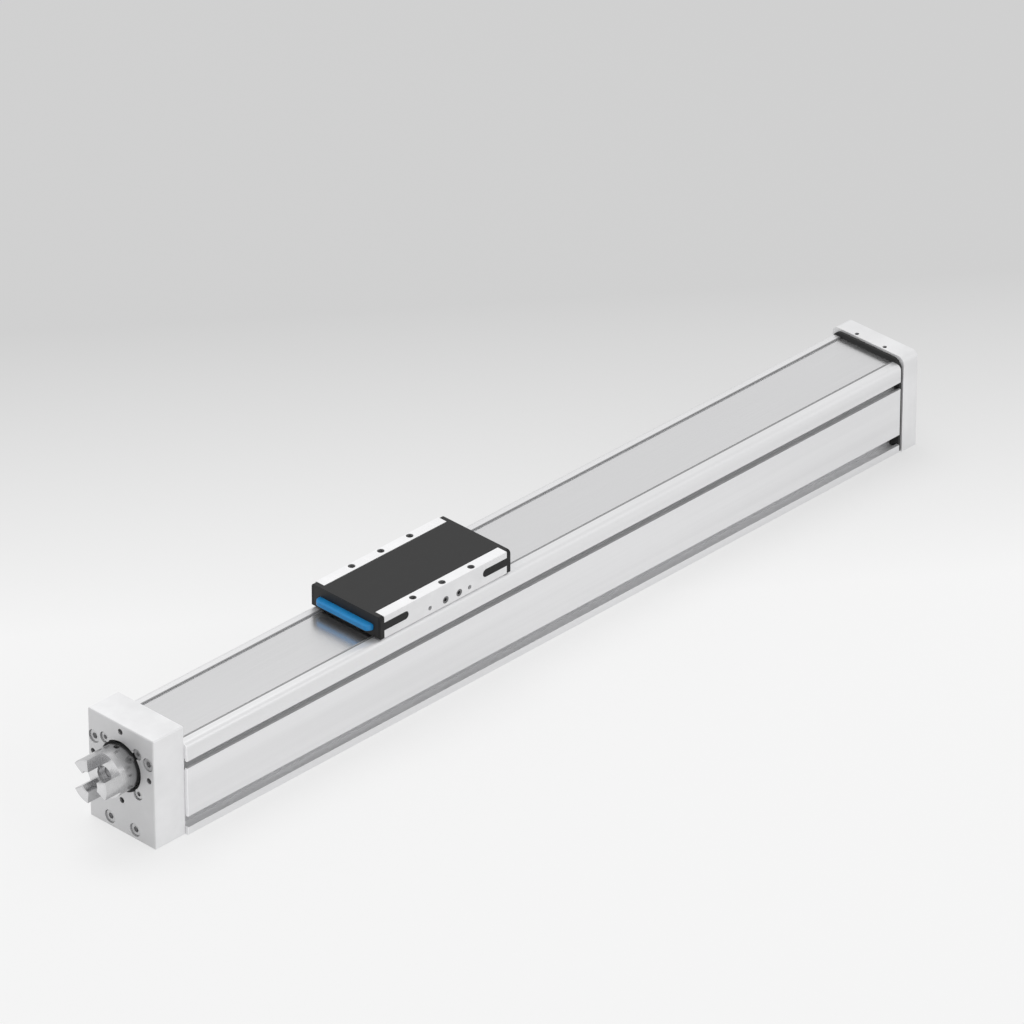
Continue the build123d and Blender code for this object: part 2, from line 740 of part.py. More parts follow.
with BuildPart() as strip_clamp_screws:
    with BuildSketch(Plane.XY.offset(strip_top_z + clamp_bar_thickness)):
        with Locations(clamp_points):
            Circle(clamp_screw_radius)
            RegularPolygon(clamp_screw_socket, hex_sides, mode=Mode.SUBTRACT)
    extrude(amount=end_cover_height - clamp_screw_sink - strip_top_z - clamp_bar_thickness)
strip_clamp_screws.part.label = "strip_clamp_screws"
export_step(strip_clamp_screws.part, "parts/strip_clamp_screws.step")


# Strip anchor: bar hooked behind the profile's end under the cover strip
anchor_x = profile_start_x - anchor_length / 2
anchor_points = [(anchor_x, anchor_screw_offset_y), (anchor_x, -anchor_screw_offset_y)]
with BuildPart() as strip_anchor_bar:
    with BuildSketch(Plane.XY.offset(anchor_bottom_z)):
        with Locations((anchor_x, 0)):
            Rectangle(anchor_length, anchor_width)
        with Locations(anchor_points):
            Circle(anchor_screw_radius + seat_gap, mode=Mode.SUBTRACT)
    extrude(amount=anchor_thickness)
strip_anchor_bar.part.label = "strip_anchor_bar"
export_step(strip_anchor_bar.part, "parts/strip_anchor_bar.step")

with BuildPart() as strip_anchor_screws:
    with BuildSketch(Plane.XY.offset(strip_top_z)):
        with Locations(anchor_points):
            Circle(anchor_head_radius)
    extrude(amount=anchor_head_height)
    with BuildSketch(Plane.XY.offset(strip_top_z)):
        with Locations(anchor_points):
            Circle(anchor_screw_radius)
    extrude(amount=-(anchor_thickness + strip_thickness - seat_gap))
strip_anchor_screws.part.label = "strip_anchor_screws"
export_step(strip_anchor_screws.part, "parts/strip_anchor_screws.step")


# Floating bearing: outer ring in the end cover, inner ring and circlip on the spindle
with BuildPart() as floating_bearing_outer_ring:
    with BuildSketch(Plane.YZ.offset(end_bearing_x)):
        with Locations((0, axis_z)):
            Circle(end_bearing_radius)
            Circle(end_inner_ring_radius + run_gap, mode=Mode.SUBTRACT)
    extrude(amount=end_bearing_width)
floating_bearing_outer_ring.part.label = "floating_bearing_outer_ring"
export_step(floating_bearing_outer_ring.part, "parts/floating_bearing_outer_ring.step")

with BuildPart() as floating_bearing_inner_ring:
    with BuildSketch(Plane.YZ.offset(end_bearing_x)):
        with Locations((0, axis_z)):
            Circle(end_inner_ring_radius)
            Circle(far_journal_radius + seat_gap, mode=Mode.SUBTRACT)
    extrude(amount=end_bearing_width)
floating_bearing_inner_ring.part.label = "floating_bearing_inner_ring"
export_step(floating_bearing_inner_ring.part, "parts/floating_bearing_inner_ring.step")

with BuildPart() as circlip:
    with BuildSketch(Plane.YZ.offset(end_bearing_end_x)):
        with Locations((0, axis_z)):
            Circle(circlip_radius)
            Circle(far_journal_radius + seat_gap, mode=Mode.SUBTRACT)
        with BuildLine():
            clip_arc = CenterArc(
                (0, axis_z), 2 * circlip_radius, upward - circlip_gap_angle / 2, circlip_gap_angle
            )
            Line((0, axis_z), clip_arc @ 0)
            Line(clip_arc @ 1, (0, axis_z))
        make_face(mode=Mode.SUBTRACT)
    extrude(amount=circlip_thickness)
circlip.part.label = "circlip"
export_step(circlip.part, "parts/circlip.step")


# Guide rail on the cavity floor and its row of screws
with BuildPart() as guide_rail:
    with BuildSketch(Plane.YZ.offset(profile_start_x + rail_end_gap)):
        with Locations((0, cavity_floor_z + rail_height / 2)):
            Rectangle(rail_width, rail_height)
        for side in (-1, 1):
            groove_y = side * (rail_width - rail_groove_depth) / 2
            with Locations((groove_y, cavity_floor_z + rail_height / 2)):
                Rectangle(rail_groove_depth, rail_groove_height, mode=Mode.SUBTRACT)
    extrude(amount=profile_length - 2 * rail_end_gap)
    with BuildSketch(Plane.XY.offset(rail_top_z)):
        with Locations(rail_screw_points):
            Circle(rail_screw_bore_radius)
    extrude(amount=-rail_screw_bore_depth, mode=Mode.SUBTRACT)
    with BuildSketch(Plane.XY.offset(rail_top_z)):
        with Locations(rail_screw_points):
            Circle(rail_screw_hole_radius)
    extrude(amount=-rail_height, mode=Mode.SUBTRACT)
guide_rail.part.label = "guide_rail"
export_step(guide_rail.part, "parts/guide_rail.step")

with BuildPart() as rail_screws:
    rail_seat_z = rail_top_z - rail_screw_bore_depth
    with BuildSketch(Plane.XY.offset(rail_seat_z)):
        with Locations(rail_screw_points):
            Circle(rail_screw_head_radius)
    extrude(amount=rail_screw_head_height)
    with BuildSketch(Plane.XY.offset(rail_seat_z)):
        with Locations(rail_screw_points):
            Circle(rail_screw_radius)
    extrude(amount=-(rail_height - rail_screw_bore_depth + rail_screw_grip))
rail_screws.part.label = "rail_screws"
export_step(rail_screws.part, "parts/rail_screws.step")


# Guide blocks: two runner blocks straddling the rail, with end seals as steps
for block_name, block_side in (("drive_side_guide_block", -1), ("end_side_guide_block", 1)):
    block_x = carriage_rest_x + block_side * block_spacing / 2
    block_height = carriage_foot_z - block_bottom_z
    block_screw_points = [
        (block_x + sx * block_screw_offset_x, sy * block_screw_offset_y)
        for sx in (-1, 1)
        for sy in (-1, 1)
    ]
    with BuildPart() as guide_block:
        with BuildSketch(Plane.YZ.offset(block_x - block_length / 2)):
            with Locations((0, block_bottom_z + (block_height - block_seal_step) / 2)):
                Rectangle(block_width - 2 * block_seal_step, block_height - block_seal_step)
        extrude(amount=block_length)
        with BuildSketch(Plane.YZ.offset(block_x - block_length / 2 + block_seal_thickness)):
            with Locations((0, block_bottom_z + block_height / 2)):
                Rectangle(block_width, block_height)
        extrude(amount=block_length - 2 * block_seal_thickness)
        with BuildSketch(Plane.YZ.offset(block_x - block_length / 2)):
            with Locations((0, (block_bottom_z + rail_top_z + free_gap) / 2)):
                Rectangle(rail_width + 2 * run_gap, rail_top_z + free_gap - block_bottom_z)
        extrude(amount=block_length, mode=Mode.SUBTRACT)
        for side in (-1, 1):
            rib_y = side * (rail_width / 2 - rail_groove_depth + run_gap)
            rib_width = rail_groove_depth
            with BuildSketch(Plane.YZ.offset(block_x - block_length / 2 + block_seal_thickness)):
                with Locations((rib_y + side * rib_width / 2, cavity_floor_z + rail_height / 2)):
                    Rectangle(rib_width, rail_groove_height - 2 * run_gap)
            extrude(amount=block_length - 2 * block_seal_thickness)
        with BuildSketch(Plane.XY.offset(carriage_foot_z)):
            with Locations(block_screw_points):
                Circle(block_screw_radius + seat_gap)
        extrude(amount=-(block_screw_grip + free_gap), mode=Mode.SUBTRACT)
    guide_block.part.label = block_name
    export_step(guide_block.part, "parts/" + block_name + ".step")


# Carriage body: guided foot, neck through the slot, web and two side flanges around the strip
all_block_screws = [
    (carriage_rest_x + bx * block_spacing / 2 + sx * block_screw_offset_x, sy * block_screw_offset_y)
    for bx in (-1, 1)
    for sx in (-1, 1)
    for sy in (-1, 1)
]
nut_screw_points = [
    (sy * nut_screw_offset_y, axis_z + sz * nut_screw_offset_z) for sy in (-1, 1) for sz in (-1, 1)
]
top_thread_points = [
    (carriage_rest_x + ix * top_thread_pitch, sy * top_thread_spacing / 2)
    for ix in (-1, 0, 1)
    for sy in (-1, 1)
]
neck_start_x = carriage_rest_x - neck_length / 2
web_start_x = carriage_rest_x - web_length / 2
body_start_x = carriage_rest_x - body_end
with BuildPart() as carriage_body:
    with BuildSketch(Plane.YZ.offset(neck_start_x)):
        with Locations((0, (carriage_foot_z + wing_top_z) / 2)):
            Rectangle(block_width, wing_top_z - carriage_foot_z)
        with Locations((0, (wing_top_z + neck_top_z) / 2)):
            Rectangle(neck_width, neck_top_z - wing_top_z)
    extrude(amount=neck_length)
    with BuildSketch(Plane.YZ.offset(web_start_x)):
        with Locations((0, (neck_top_z + skirt_bottom_z) / 2)):
            Rectangle(neck_width, skirt_bottom_z - neck_top_z)
        with Locations((0, (skirt_bottom_z + web_top_z) / 2)):
            Rectangle(slide_width, web_top_z - skirt_bottom_z)
    extrude(amount=web_length)
    with BuildSketch(Plane.YZ.offset(body_start_x)):
        for side in (-1, 1):
            flange_y = side * (half_cover + half_slide) / 2
            with Locations((flange_y, (skirt_bottom_z + slide_top_z) / 2)):
                Rectangle(half_slide - half_cover, slide_top_z - skirt_bottom_z)
            ledge_y = side * (half_cover - cover_ledge_width / 2)
            with Locations((ledge_y, cover_seat_z - cover_ledge_thickness / 2)):
                Rectangle(cover_ledge_width, cover_ledge_thickness)
    extrude(amount=2 * body_end)
    flange_lines = (
        carriage_body.edges().filter_by(Axis.X).group_by(Axis.Z)[-1].sort_by(Axis.Y)
    )
    chamfer([flange_lines[0], flange_lines[-1]], flange_edge)
    with BuildSketch(Plane.YZ.offset(neck_start_x)):
        with Locations((0, axis_z)):
            Circle(screw_bore_radius)
    extrude(amount=neck_length, mode=Mode.SUBTRACT)
    with BuildSketch(Plane.YZ.offset(neck_start_x)):
        with Locations((0, axis_z)):
            Circle(nut_radius + seat_gap)
    extrude(amount=nut_length, mode=Mode.SUBTRACT)
    with BuildSketch(Plane.YZ.offset(neck_start_x)):
        with Locations(nut_screw_points):
            Circle(nut_screw_radius + seat_gap)
    extrude(amount=nut_screw_grip + free_gap, mode=Mode.SUBTRACT)
    with BuildSketch(Plane.XY.offset(wing_top_z)):
        with Locations(all_block_screws):
            Circle(block_screw_hole_radius)
    extrude(amount=carriage_foot_z - wing_top_z, mode=Mode.SUBTRACT)
    with BuildSketch(Plane.XY.offset(slide_top_z)):
        with Locations(top_thread_points):
            Circle(top_thread_radius)
    extrude(amount=-top_thread_depth, mode=Mode.SUBTRACT)
    for side in (-1, 1):
        groove_plane = Plane(
            origin=(carriage_rest_x, side * half_slide, 0), x_dir=(1, 0, 0), z_dir=(0, side, 0)
        )
        straight_run = body_end - web_length / 2 - tongue_radius
        groove_middle = -side * tongue_middle_z
        with BuildSketch(groove_plane):
            for end in (-1, 1):
                with Locations((end * (body_end - straight_run / 2), groove_middle)):
                    Rectangle(straight_run, 2 * tongue_radius)
                with Locations((end * (body_end - straight_run), groove_middle)):
                    Circle(tongue_radius)
        extrude(amount=-tongue_depth, mode=Mode.SUBTRACT)
        with BuildSketch(groove_plane):
            with Locations([(x, -side * port_z) for x in port_positions]):
                Circle(port_radius + seat_gap)
        extrude(amount=-port_depth, mode=Mode.SUBTRACT)
        with BuildSketch(groove_plane):
            with Locations([(x, -side * port_z) for x in pin_hole_positions]):
                Circle(pin_hole_radius)
        extrude(amount=-pin_hole_depth, mode=Mode.SUBTRACT)
carriage_body.part.label = "carriage_body"
export_step(carriage_body.part, "parts/carriage_body.step")

# Lubrication port plugs: two on each side of the carriage
plug_height = port_depth - free_gap
with BuildPart() as port_plugs:
    for side in (-1, 1):
        plug_plane = Plane(
            origin=(carriage_rest_x, side * (half_slide - port_depth), 0),
            x_dir=(1, 0, 0),
            z_dir=(0, side, 0),
        )
        with BuildSketch(plug_plane):
            with Locations([(x, -side * port_z) for x in port_positions]):
                Circle(port_radius)
        extrude(amount=plug_height)
        socket_plane = Plane(
            origin=(carriage_rest_x, side * (half_slide - free_gap), 0),
            x_dir=(1, 0, 0),
            z_dir=(0, side, 0),
        )
        with BuildSketch(socket_plane):
            with Locations([(x, -side * port_z) for x in port_positions]):
                RegularPolygon(port_socket, hex_sides)
        extrude(amount=-plug_height / 2, mode=Mode.SUBTRACT)
port_plugs.part.label = "port_plugs"
export_step(port_plugs.part, "parts/port_plugs.step")


# Guide block screws: heads on the wings of the carriage foot
with BuildPart() as guide_block_screws:
    with BuildSketch(Plane.XY.offset(wing_top_z)):
        with Locations(all_block_screws):
            Circle(block_screw_head_radius)
    extrude(amount=block_screw_head_height)
    with BuildSketch(Plane.XY.offset(wing_top_z)):
        with Locations(all_block_screws):
            Circle(block_screw_radius)
    extrude(amount=-(wing_top_z - carriage_foot_z + block_screw_grip))
guide_block_screws.part.label = "guide_block_screws"
export_step(guide_block_screws.part, "parts/guide_block_screws.step")


# Ball nut: barrel in the carriage bore with a flange cut flat to pass the slot
nut_face_x = neck_start_x - nut_flange_thickness
with BuildPart() as ball_nut:
    with BuildSketch(Plane.YZ.offset(neck_start_x)):
        with Locations((0, axis_z)):
            Circle(nut_radius)
    extrude(amount=nut_length)
    with BuildSketch(Plane.YZ.offset(nut_face_x)):
        with Locations((0, axis_z)):
            Circle(nut_flange_radius)
            Rectangle(neck_width, nut_flange_height, mode=Mode.INTERSECT)
    extrude(amount=nut_flange_thickness)
    with BuildSketch(Plane.YZ.offset(nut_face_x)):
        with Locations((0, axis_z)):
            Circle(spindle_radius + run_gap)
    extrude(amount=nut_flange_thickness + nut_length, mode=Mode.SUBTRACT)
    with BuildSketch(Plane.YZ.offset(nut_face_x)):
        with Locations(nut_screw_points):
            Circle(nut_screw_hole_radius)
    extrude(amount=nut_flange_thickness, mode=Mode.SUBTRACT)
ball_nut.part.label = "ball_nut"
export_step(ball_nut.part, "parts/ball_nut.step")

with BuildPart() as nut_screws:
    with BuildSketch(Plane.YZ.offset(nut_face_x)):
        with Locations(nut_screw_points):
            Circle(nut_screw_head_radius)
    extrude(amount=-nut_screw_head_height)
    with BuildSketch(Plane.YZ.offset(nut_face_x)):
        with Locations(nut_screw_points):
            Circle(nut_screw_radius)
    extrude(amount=nut_flange_thickness + nut_screw_grip)
nut_screws.part.label = "nut_screws"
export_step(nut_screws.part, "parts/nut_screws.step")


# Carriage cover: flat lid between the flanges, over the lifted strip
with BuildPart() as carriage_cover:
    with BuildSketch(Plane.XY.offset(cover_seat_z)):
        with Locations((carriage_rest_x, 0)):
            Rectangle(2 * body_end, cover_width - 2 * cover_side_gap)
    extrude(amount=cover_thickness)
    chamfer(carriage_cover.edges().group_by(Axis.Z)[-1].filter_by(Axis.X), cap_edge)
carriage_cover.part.label = "carriage_cover"
export_step(carriage_cover.part, "parts/carriage_cover.step")


# Carriage end caps, bumpers and strip deflectors, one set at each end
for end_name, end in (("drive_side", -1), ("end_side", 1)):
    plate_x = carriage_rest_x + end * half_slide_length
    tongue_length = body_end - web_length / 2 - free_gap
    tip_radius = tongue_radius - tongue_gap
    with BuildPart() as cap:
        with BuildSketch(Plane.YZ.offset(plate_x)) as plate_section:
            with Locations((0, (skirt_bottom_z + slide_top_z) / 2)):
                Rectangle(slide_width, slide_top_z - skirt_bottom_z)
            fillet(plate_section.vertices().group_by(Axis.Y)[-1], cap_corner_radius)
            with Locations((0, (bumper_low_z + bumper_high_z) / 2)):
                Rectangle(
                    bumper_width + 2 * seat_gap,
                    bumper_high_z - bumper_low_z + 2 * seat_gap,
                    mode=Mode.SUBTRACT,
                )
        extrude(amount=-end * cap_plate_thickness)
        for side in (-1, 1):
            tongue_plane = Plane(
                origin=(carriage_rest_x + end * body_end, side * half_slide, tongue_middle_z),
                x_dir=(1, 0, 0),
                z_dir=(0, side, 0),
            )
            with BuildSketch(tongue_plane):
                with Locations((-end * (tongue_length - tip_radius) / 2, 0)):
                    Rectangle(tongue_length - tip_radius, 2 * tip_radius)
                with Locations((-end * (tongue_length - tip_radius), 0)):
                    Circle(tip_radius)
            extrude(amount=-(tongue_depth - tongue_gap))
    cap.part.label = end_name + "_end_cap"
    export_step(cap.part, "parts/" + end_name + "_end_cap.step")

    bumper_span = cap_plate_thickness + bumper_reach
    with BuildPart() as bumper:
        with BuildSketch(Plane.XY.offset(bumper_low_z)) as bumper_plan:
            with Locations((carriage_rest_x + end * (body_end + bumper_span / 2), 0)):
                Rectangle(bumper_span, bumper_width)
            front_corners = bumper_plan.vertices().group_by(Axis.X)[-1 if end > 0 else 0]
            fillet(front_corners, bumper_corner_radius)
        extrude(amount=bumper_high_z - bumper_low_z)
        rounded = bumper.edges().group_by(Axis.X)[-1 if end > 0 else 0].filter_by(Axis.Y)
        chamfer(rounded, bumper_edge)
    bumper.part.label = end_name + "_bumper"
    export_step(bumper.part, "parts/" + end_name + "_bumper.step")

    slide_radius = inner_bend - deflector_gap
    crest_x = carriage_rest_x + end * lift_end
    web_end_x = carriage_rest_x + end * web_length / 2
    with BuildPart() as deflector:
        with BuildSketch(Plane.XZ):
            with BuildLine():
                back = Line((web_end_x, neck_top_z), (web_end_x, high_bend_z + slide_radius))
                flat = Line(back @ 1, (crest_x, high_bend_z + slide_radius))
                nose = CenterArc((crest_x, high_bend_z), slide_radius, upward, -end * bend_angle)
                nose_x = (nose @ 1).X
                drop = Line(nose @ 1, (nose_x, neck_top_z))
                foot = Line(drop @ 1, back @ 0)
            make_face()
        extrude(amount=deflector_width / 2, both=True)
    deflector.part.label = end_name + "_strip_deflector"
    export_step(deflector.part, "parts/" + end_name + "_strip_deflector.step")
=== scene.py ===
import json
import math

import bmesh
import bpy
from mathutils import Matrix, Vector


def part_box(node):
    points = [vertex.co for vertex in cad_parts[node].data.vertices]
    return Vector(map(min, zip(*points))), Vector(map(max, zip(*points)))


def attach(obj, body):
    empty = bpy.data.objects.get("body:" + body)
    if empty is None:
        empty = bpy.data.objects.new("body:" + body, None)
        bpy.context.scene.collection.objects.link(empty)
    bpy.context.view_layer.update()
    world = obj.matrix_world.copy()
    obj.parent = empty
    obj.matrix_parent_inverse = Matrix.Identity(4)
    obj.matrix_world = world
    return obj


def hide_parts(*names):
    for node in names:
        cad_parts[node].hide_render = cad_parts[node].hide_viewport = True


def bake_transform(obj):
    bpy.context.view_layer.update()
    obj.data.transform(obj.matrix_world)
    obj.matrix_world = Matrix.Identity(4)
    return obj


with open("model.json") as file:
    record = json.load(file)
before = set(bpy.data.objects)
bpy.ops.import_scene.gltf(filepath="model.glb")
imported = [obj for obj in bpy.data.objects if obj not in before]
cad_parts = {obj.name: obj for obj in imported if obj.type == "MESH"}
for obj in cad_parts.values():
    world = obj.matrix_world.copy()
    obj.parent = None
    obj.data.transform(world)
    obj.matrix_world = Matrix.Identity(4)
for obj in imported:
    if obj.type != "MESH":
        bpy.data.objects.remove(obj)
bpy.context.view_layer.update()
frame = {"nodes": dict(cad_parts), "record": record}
NODES = frame["nodes"]

# Dimensions in metres, as in the part's source
AXIS_Z = 0.050
LEAD = 0.010
SPINDLE_R = 0.006
GROOVE_R = 0.0017
GROOVE_DEPTH = 0.0011
THREAD_START_X = -0.334
THREAD_END_X = 0.334
SPINDLE_START_X = -0.338
SPINDLE_END_X = 0.3375
STRIP_Z = 0.0669
STRIP_T = 0.0003
STRIP_W = 0.0444
STRIP_START_X = -0.340
STRIP_END_X = 0.3408
STRIP_LIFT = 0.0067
LIFT_START = 0.056
LIFT_END = 0.035
CARRIAGE_X = -0.1012
PROFILE_HALF = 0.334
TOP_Z = 0.0848
TOP_THREAD_R = 0.0025
TOP_THREAD_DEPTH = 0.008
TOP_PITCH = 0.0266
TOP_SPACING = 0.0558
DRIVE_FACE_X = -0.361
BUMPER_LOW_Z = 0.0729
# Band in absolute Y where the end caps' sides get painted shade
CAP_SIDE_SHADE_Y = (0.0290, 0.0330)
SENSOR_SLOT_Z = (0.0455, 0.0590)
SENSOR_SLOT_Y = (0.0250, 0.0304)
# Bounds of a painted shadow line on the lip beside the strip
STRIP_SHADOW_LINE_Z = (0.0670, 0.0700)
STRIP_SHADOW_LINE_Y = (0.0232, 0.0246)
MASK_EDGE = 0.0002
MOTOR_CIRCLE_R = 0.0255
MOTOR_THREAD_R = 0.0021
MOTOR_THREAD_DEPTH = 0.010
TOP_THREAD_PITCH = 0.001
MOTOR_THREAD_PITCH = 0.0008
JOURNAL_R = 0.0050
SPINDLE_TIP_R = 0.0040
SPINDLE_TIP_X = -0.357
TIP_CHAMFER = 0.0006


# Camera at the photograph's viewing angle

CAMERA_AT = (-3.7805, -3.6888, 3.2411)
CAMERA_AIM = Vector((-0.0132, -0.0050, 0.0902))
CAMERA_LENS = 331.4


def make_camera():
    data = bpy.data.cameras.new("view_camera")
    data.lens = CAMERA_LENS
    data.sensor_width = 36.0
    data.clip_start = 0.1
    data.clip_end = 100.0
    camera = bpy.data.objects.new("view_camera", data)
    bpy.context.scene.collection.objects.link(camera)
    camera.location = CAMERA_AT
    camera.rotation_mode = "QUATERNION"
    camera.rotation_quaternion = (CAMERA_AIM - camera.location).to_track_quat("-Z", "Y")
    bpy.context.scene.camera = camera


# Node helpers

class Graph:
    """A material's node tree with short calls for the nodes that the finishes use."""

    def __init__(self, name):
        self.material = bpy.data.materials.new(name)
        self.material.use_nodes = True
        self.tree = self.material.node_tree
        self.tree.nodes.clear()
        self.output = self.tree.nodes.new("ShaderNodeOutputMaterial")
        self.shader = self.tree.nodes.new("ShaderNodeBsdfPrincipled")
        self.link(self.shader.outputs["BSDF"], self.output.inputs["Surface"])
        sources = self.tree.nodes.new("ShaderNodeTexCoord")
        self.coords = sources.outputs["Object"]
        self.normal = sources.outputs["Normal"]

    def link(self, a, b):
        self.tree.links.new(a, b)

    def noise(self, scale, detail=3.0, stretch=(1.0, 1.0, 1.0), roughness=0.55):
        mapping = self.tree.nodes.new("ShaderNodeMapping")
        mapping.inputs["Scale"].default_value = stretch
        self.link(self.coords, mapping.inputs["Vector"])
        node = self.tree.nodes.new("ShaderNodeTexNoise")
        node.inputs["Scale"].default_value = scale
        node.inputs["Detail"].default_value = detail
        node.inputs["Roughness"].default_value = roughness
        self.link(mapping.outputs["Vector"], node.inputs["Vector"])
        return node.outputs["Fac"]

    def cells(self, scale):
        node = self.tree.nodes.new("ShaderNodeTexVoronoi")
        node.inputs["Scale"].default_value = scale
        self.link(self.coords, node.inputs["Vector"])
        return node.outputs["Distance"]

    def ramp(self, value, low, high, start=0.3, end=0.7):
        node = self.tree.nodes.new("ShaderNodeMapRange")
        node.inputs["From Min"].default_value = start
        node.inputs["From Max"].default_value = end
        node.inputs["To Min"].default_value = low
        node.inputs["To Max"].default_value = high
        self.link(value, node.inputs["Value"])
        return node.outputs["Result"]

    def part_of(self, vector, axis):
        node = self.tree.nodes.new("ShaderNodeSeparateXYZ")
        self.link(vector, node.inputs["Vector"])
        return node.outputs[axis]

    def along(self, axis, start, end):
        """0 to 1 between two places along the part's own X, Y or Z."""
        return self.ramp(self.part_of(self.coords, axis), 0.0, 1.0, start, end)

    def combine(self, operation, a, b=0.0):
        node = self.tree.nodes.new("ShaderNodeMath")
        node.operation = operation
        for socket, value in zip(node.inputs, (a, b)):
            if isinstance(value, bpy.types.NodeSocket):
                self.link(value, socket)
            else:
                socket.default_value = value
        return node.outputs["Value"]

    def within(self, axis, start, end, soft=0.0003, both_sides=False):
        """1 between two places along an axis, or along its absolute value, and 0 outside."""
        place = self.part_of(self.coords, axis)
        if both_sides:
            place = self.combine("ABSOLUTE", place)
        rise = self.ramp(place, 0.0, 1.0, start, start + soft)
        fall = self.ramp(place, 1.0, 0.0, end - soft, end)
        return self.combine("MULTIPLY", rise, fall)

    def mix(self, factor, a, b):
        node = self.tree.nodes.new("ShaderNodeMix")
        node.data_type = "RGBA"
        for socket, colour in ((node.inputs["A"], a), (node.inputs["B"], b)):
            if isinstance(colour, bpy.types.NodeSocket):
                self.link(colour, socket)
            else:
                socket.default_value = (*colour, 1.0)
        self.link(factor, node.inputs["Factor"])
        return node.outputs["Result"]

    def bump(self, height, strength, distance, under=None):
        node = self.tree.nodes.new("ShaderNodeBump")
        node.inputs["Strength"].default_value = strength
        node.inputs["Distance"].default_value = distance
        self.link(height, node.inputs["Height"])
        if under is not None:
            self.link(under, node.inputs["Normal"])
        return node.outputs["Normal"]

    def set(self, name, value):
        socket = self.shader.inputs[name]
        if isinstance(value, bpy.types.NodeSocket):
            self.link(value, socket)
        else:
            socket.default_value = value


def grey(value):
    return (value, value, value * 1.01)


def extruded_aluminium():
    """Satin anodised extrusion with faint die lines along X; painted shade darkens the sensor slots
    and a thin line on the lip beside the strip, and painted light brightens the end face at the drive
    cover.
    """
    g = Graph("extruded_aluminium")
    lines = g.noise(90.0, 4.0, (0.012, 1.0, 1.0))
    fine = g.noise(2600.0, 2.0, (0.05, 1.0, 1.0))
    cloud = g.noise(22.0, 3.0, (0.3, 1.0, 1.0))
    plain = g.mix(g.ramp(lines, 0.0, 1.0), grey(0.76), grey(0.83))
    # Painted shade: the insides of the sensor slots are darker, standing in for the shade that falls
    # in them.
    slot_band = g.within("Z", *SENSOR_SLOT_Z)
    slot_shade_mask = g.combine("MULTIPLY", slot_band, g.within("Y", *SENSOR_SLOT_Y, MASK_EDGE, True))
    slot_painted_shade = g.mix(slot_shade_mask, plain, grey(0.62))
    # Painted shadow: a thin dark line on the lip beside the strip stands in for the shadow of the
    # groove there.
    shadow_line_band = g.within("Z", *STRIP_SHADOW_LINE_Z)
    shadow_line_mask = g.combine("MULTIPLY", shadow_line_band, g.within("Y", *STRIP_SHADOW_LINE_Y, MASK_EDGE, True))
    shadow_line_painted_shade = g.mix(shadow_line_mask, slot_painted_shade, grey(0.30))
    # Painted light: the profile's end face at the drive cover is brighter and barely metallic,
    # lifting the shade that the cover's corner casts on it.
    end_face_painted_light = g.within("X", -PROFILE_HALF - 0.0010, -PROFILE_HALF + 0.0004, 0.0001)
    g.set("Base Color", g.mix(end_face_painted_light, shadow_line_painted_shade, grey(0.97)))
    g.set("Metallic", g.ramp(end_face_painted_light, 0.66, 0.05, 0.0, 1.0))
    g.set("Roughness", g.ramp(cloud, 0.36, 0.46))
    coarse = g.bump(lines, 0.10, 0.0004)
    g.set("Normal", g.bump(fine, 0.10, 0.00006, coarse))
    return g.material


def blasted_aluminium():
    """Bead-blasted and anodised blocks with fine grain; the milled drive face is darker as painted
    shade.
    """
    g = Graph("blasted_aluminium")
    grain = g.noise(3200.0, 3.0)
    cloud = g.noise(40.0, 3.0)
    # Painted shade: the drive cover's front face gets a darker colour, standing in for the dimmer
    # light that falls on it.
    milled = g.mix(g.ramp(cloud, 0.0, 1.0), grey(0.60), grey(0.66))
    blasted = g.mix(g.ramp(cloud, 0.0, 1.0), grey(0.77), grey(0.84))
    behind_face = g.along("X", DRIVE_FACE_X + 0.0003, DRIVE_FACE_X + 0.0007)
    g.set("Base Color", g.mix(behind_face, milled, blasted))
    g.set("Metallic", 0.55)
    g.set("Roughness", g.ramp(cloud, 0.40, 0.50))
    g.set("Normal", g.bump(grain, 0.16, 0.00008))
    return g.material


def slide_aluminium():
    """Carriage body: bright milled top faces over anodised sides, with close cutter lines."""
    g = Graph("slide_aluminium")
    cutter = g.noise(1500.0, 2.0, (1.0, 0.04, 0.2))
    cloud = g.noise(60.0, 2.0)
    sides = g.mix(g.ramp(cloud, 0.0, 1.0), grey(0.72), grey(0.78))
    top = g.mix(g.ramp(cloud, 0.0, 1.0), grey(0.90), grey(0.95))
    g.set("Base Color", g.mix(g.along("Z", TOP_Z - 0.0004, TOP_Z - 0.0001), sides, top))
    g.set("Metallic", 0.45)
    g.set("Roughness", g.ramp(cutter, 0.30, 0.40))
    g.set("Normal", g.bump(cutter, 0.08, 0.00005))
    return g.material


def strip_steel():
    """Rolled stainless band: long fine brushing along X and a soft mirror."""
    g = Graph("strip_steel")
    brush = g.noise(1400.0, 4.0, (0.008, 1.0, 1.0))
    cloud = g.noise(14.0, 2.0, (0.4, 1.0, 1.0))
    g.set("Base Color", g.mix(g.ramp(brush, 0.0, 1.0), grey(0.755), grey(0.785)))
    g.set("Metallic", 0.94)
    g.set("Roughness", g.ramp(cloud, 0.23, 0.27))
    g.set("Normal", g.bump(brush, 0.025, 0.00005))
    return g.material


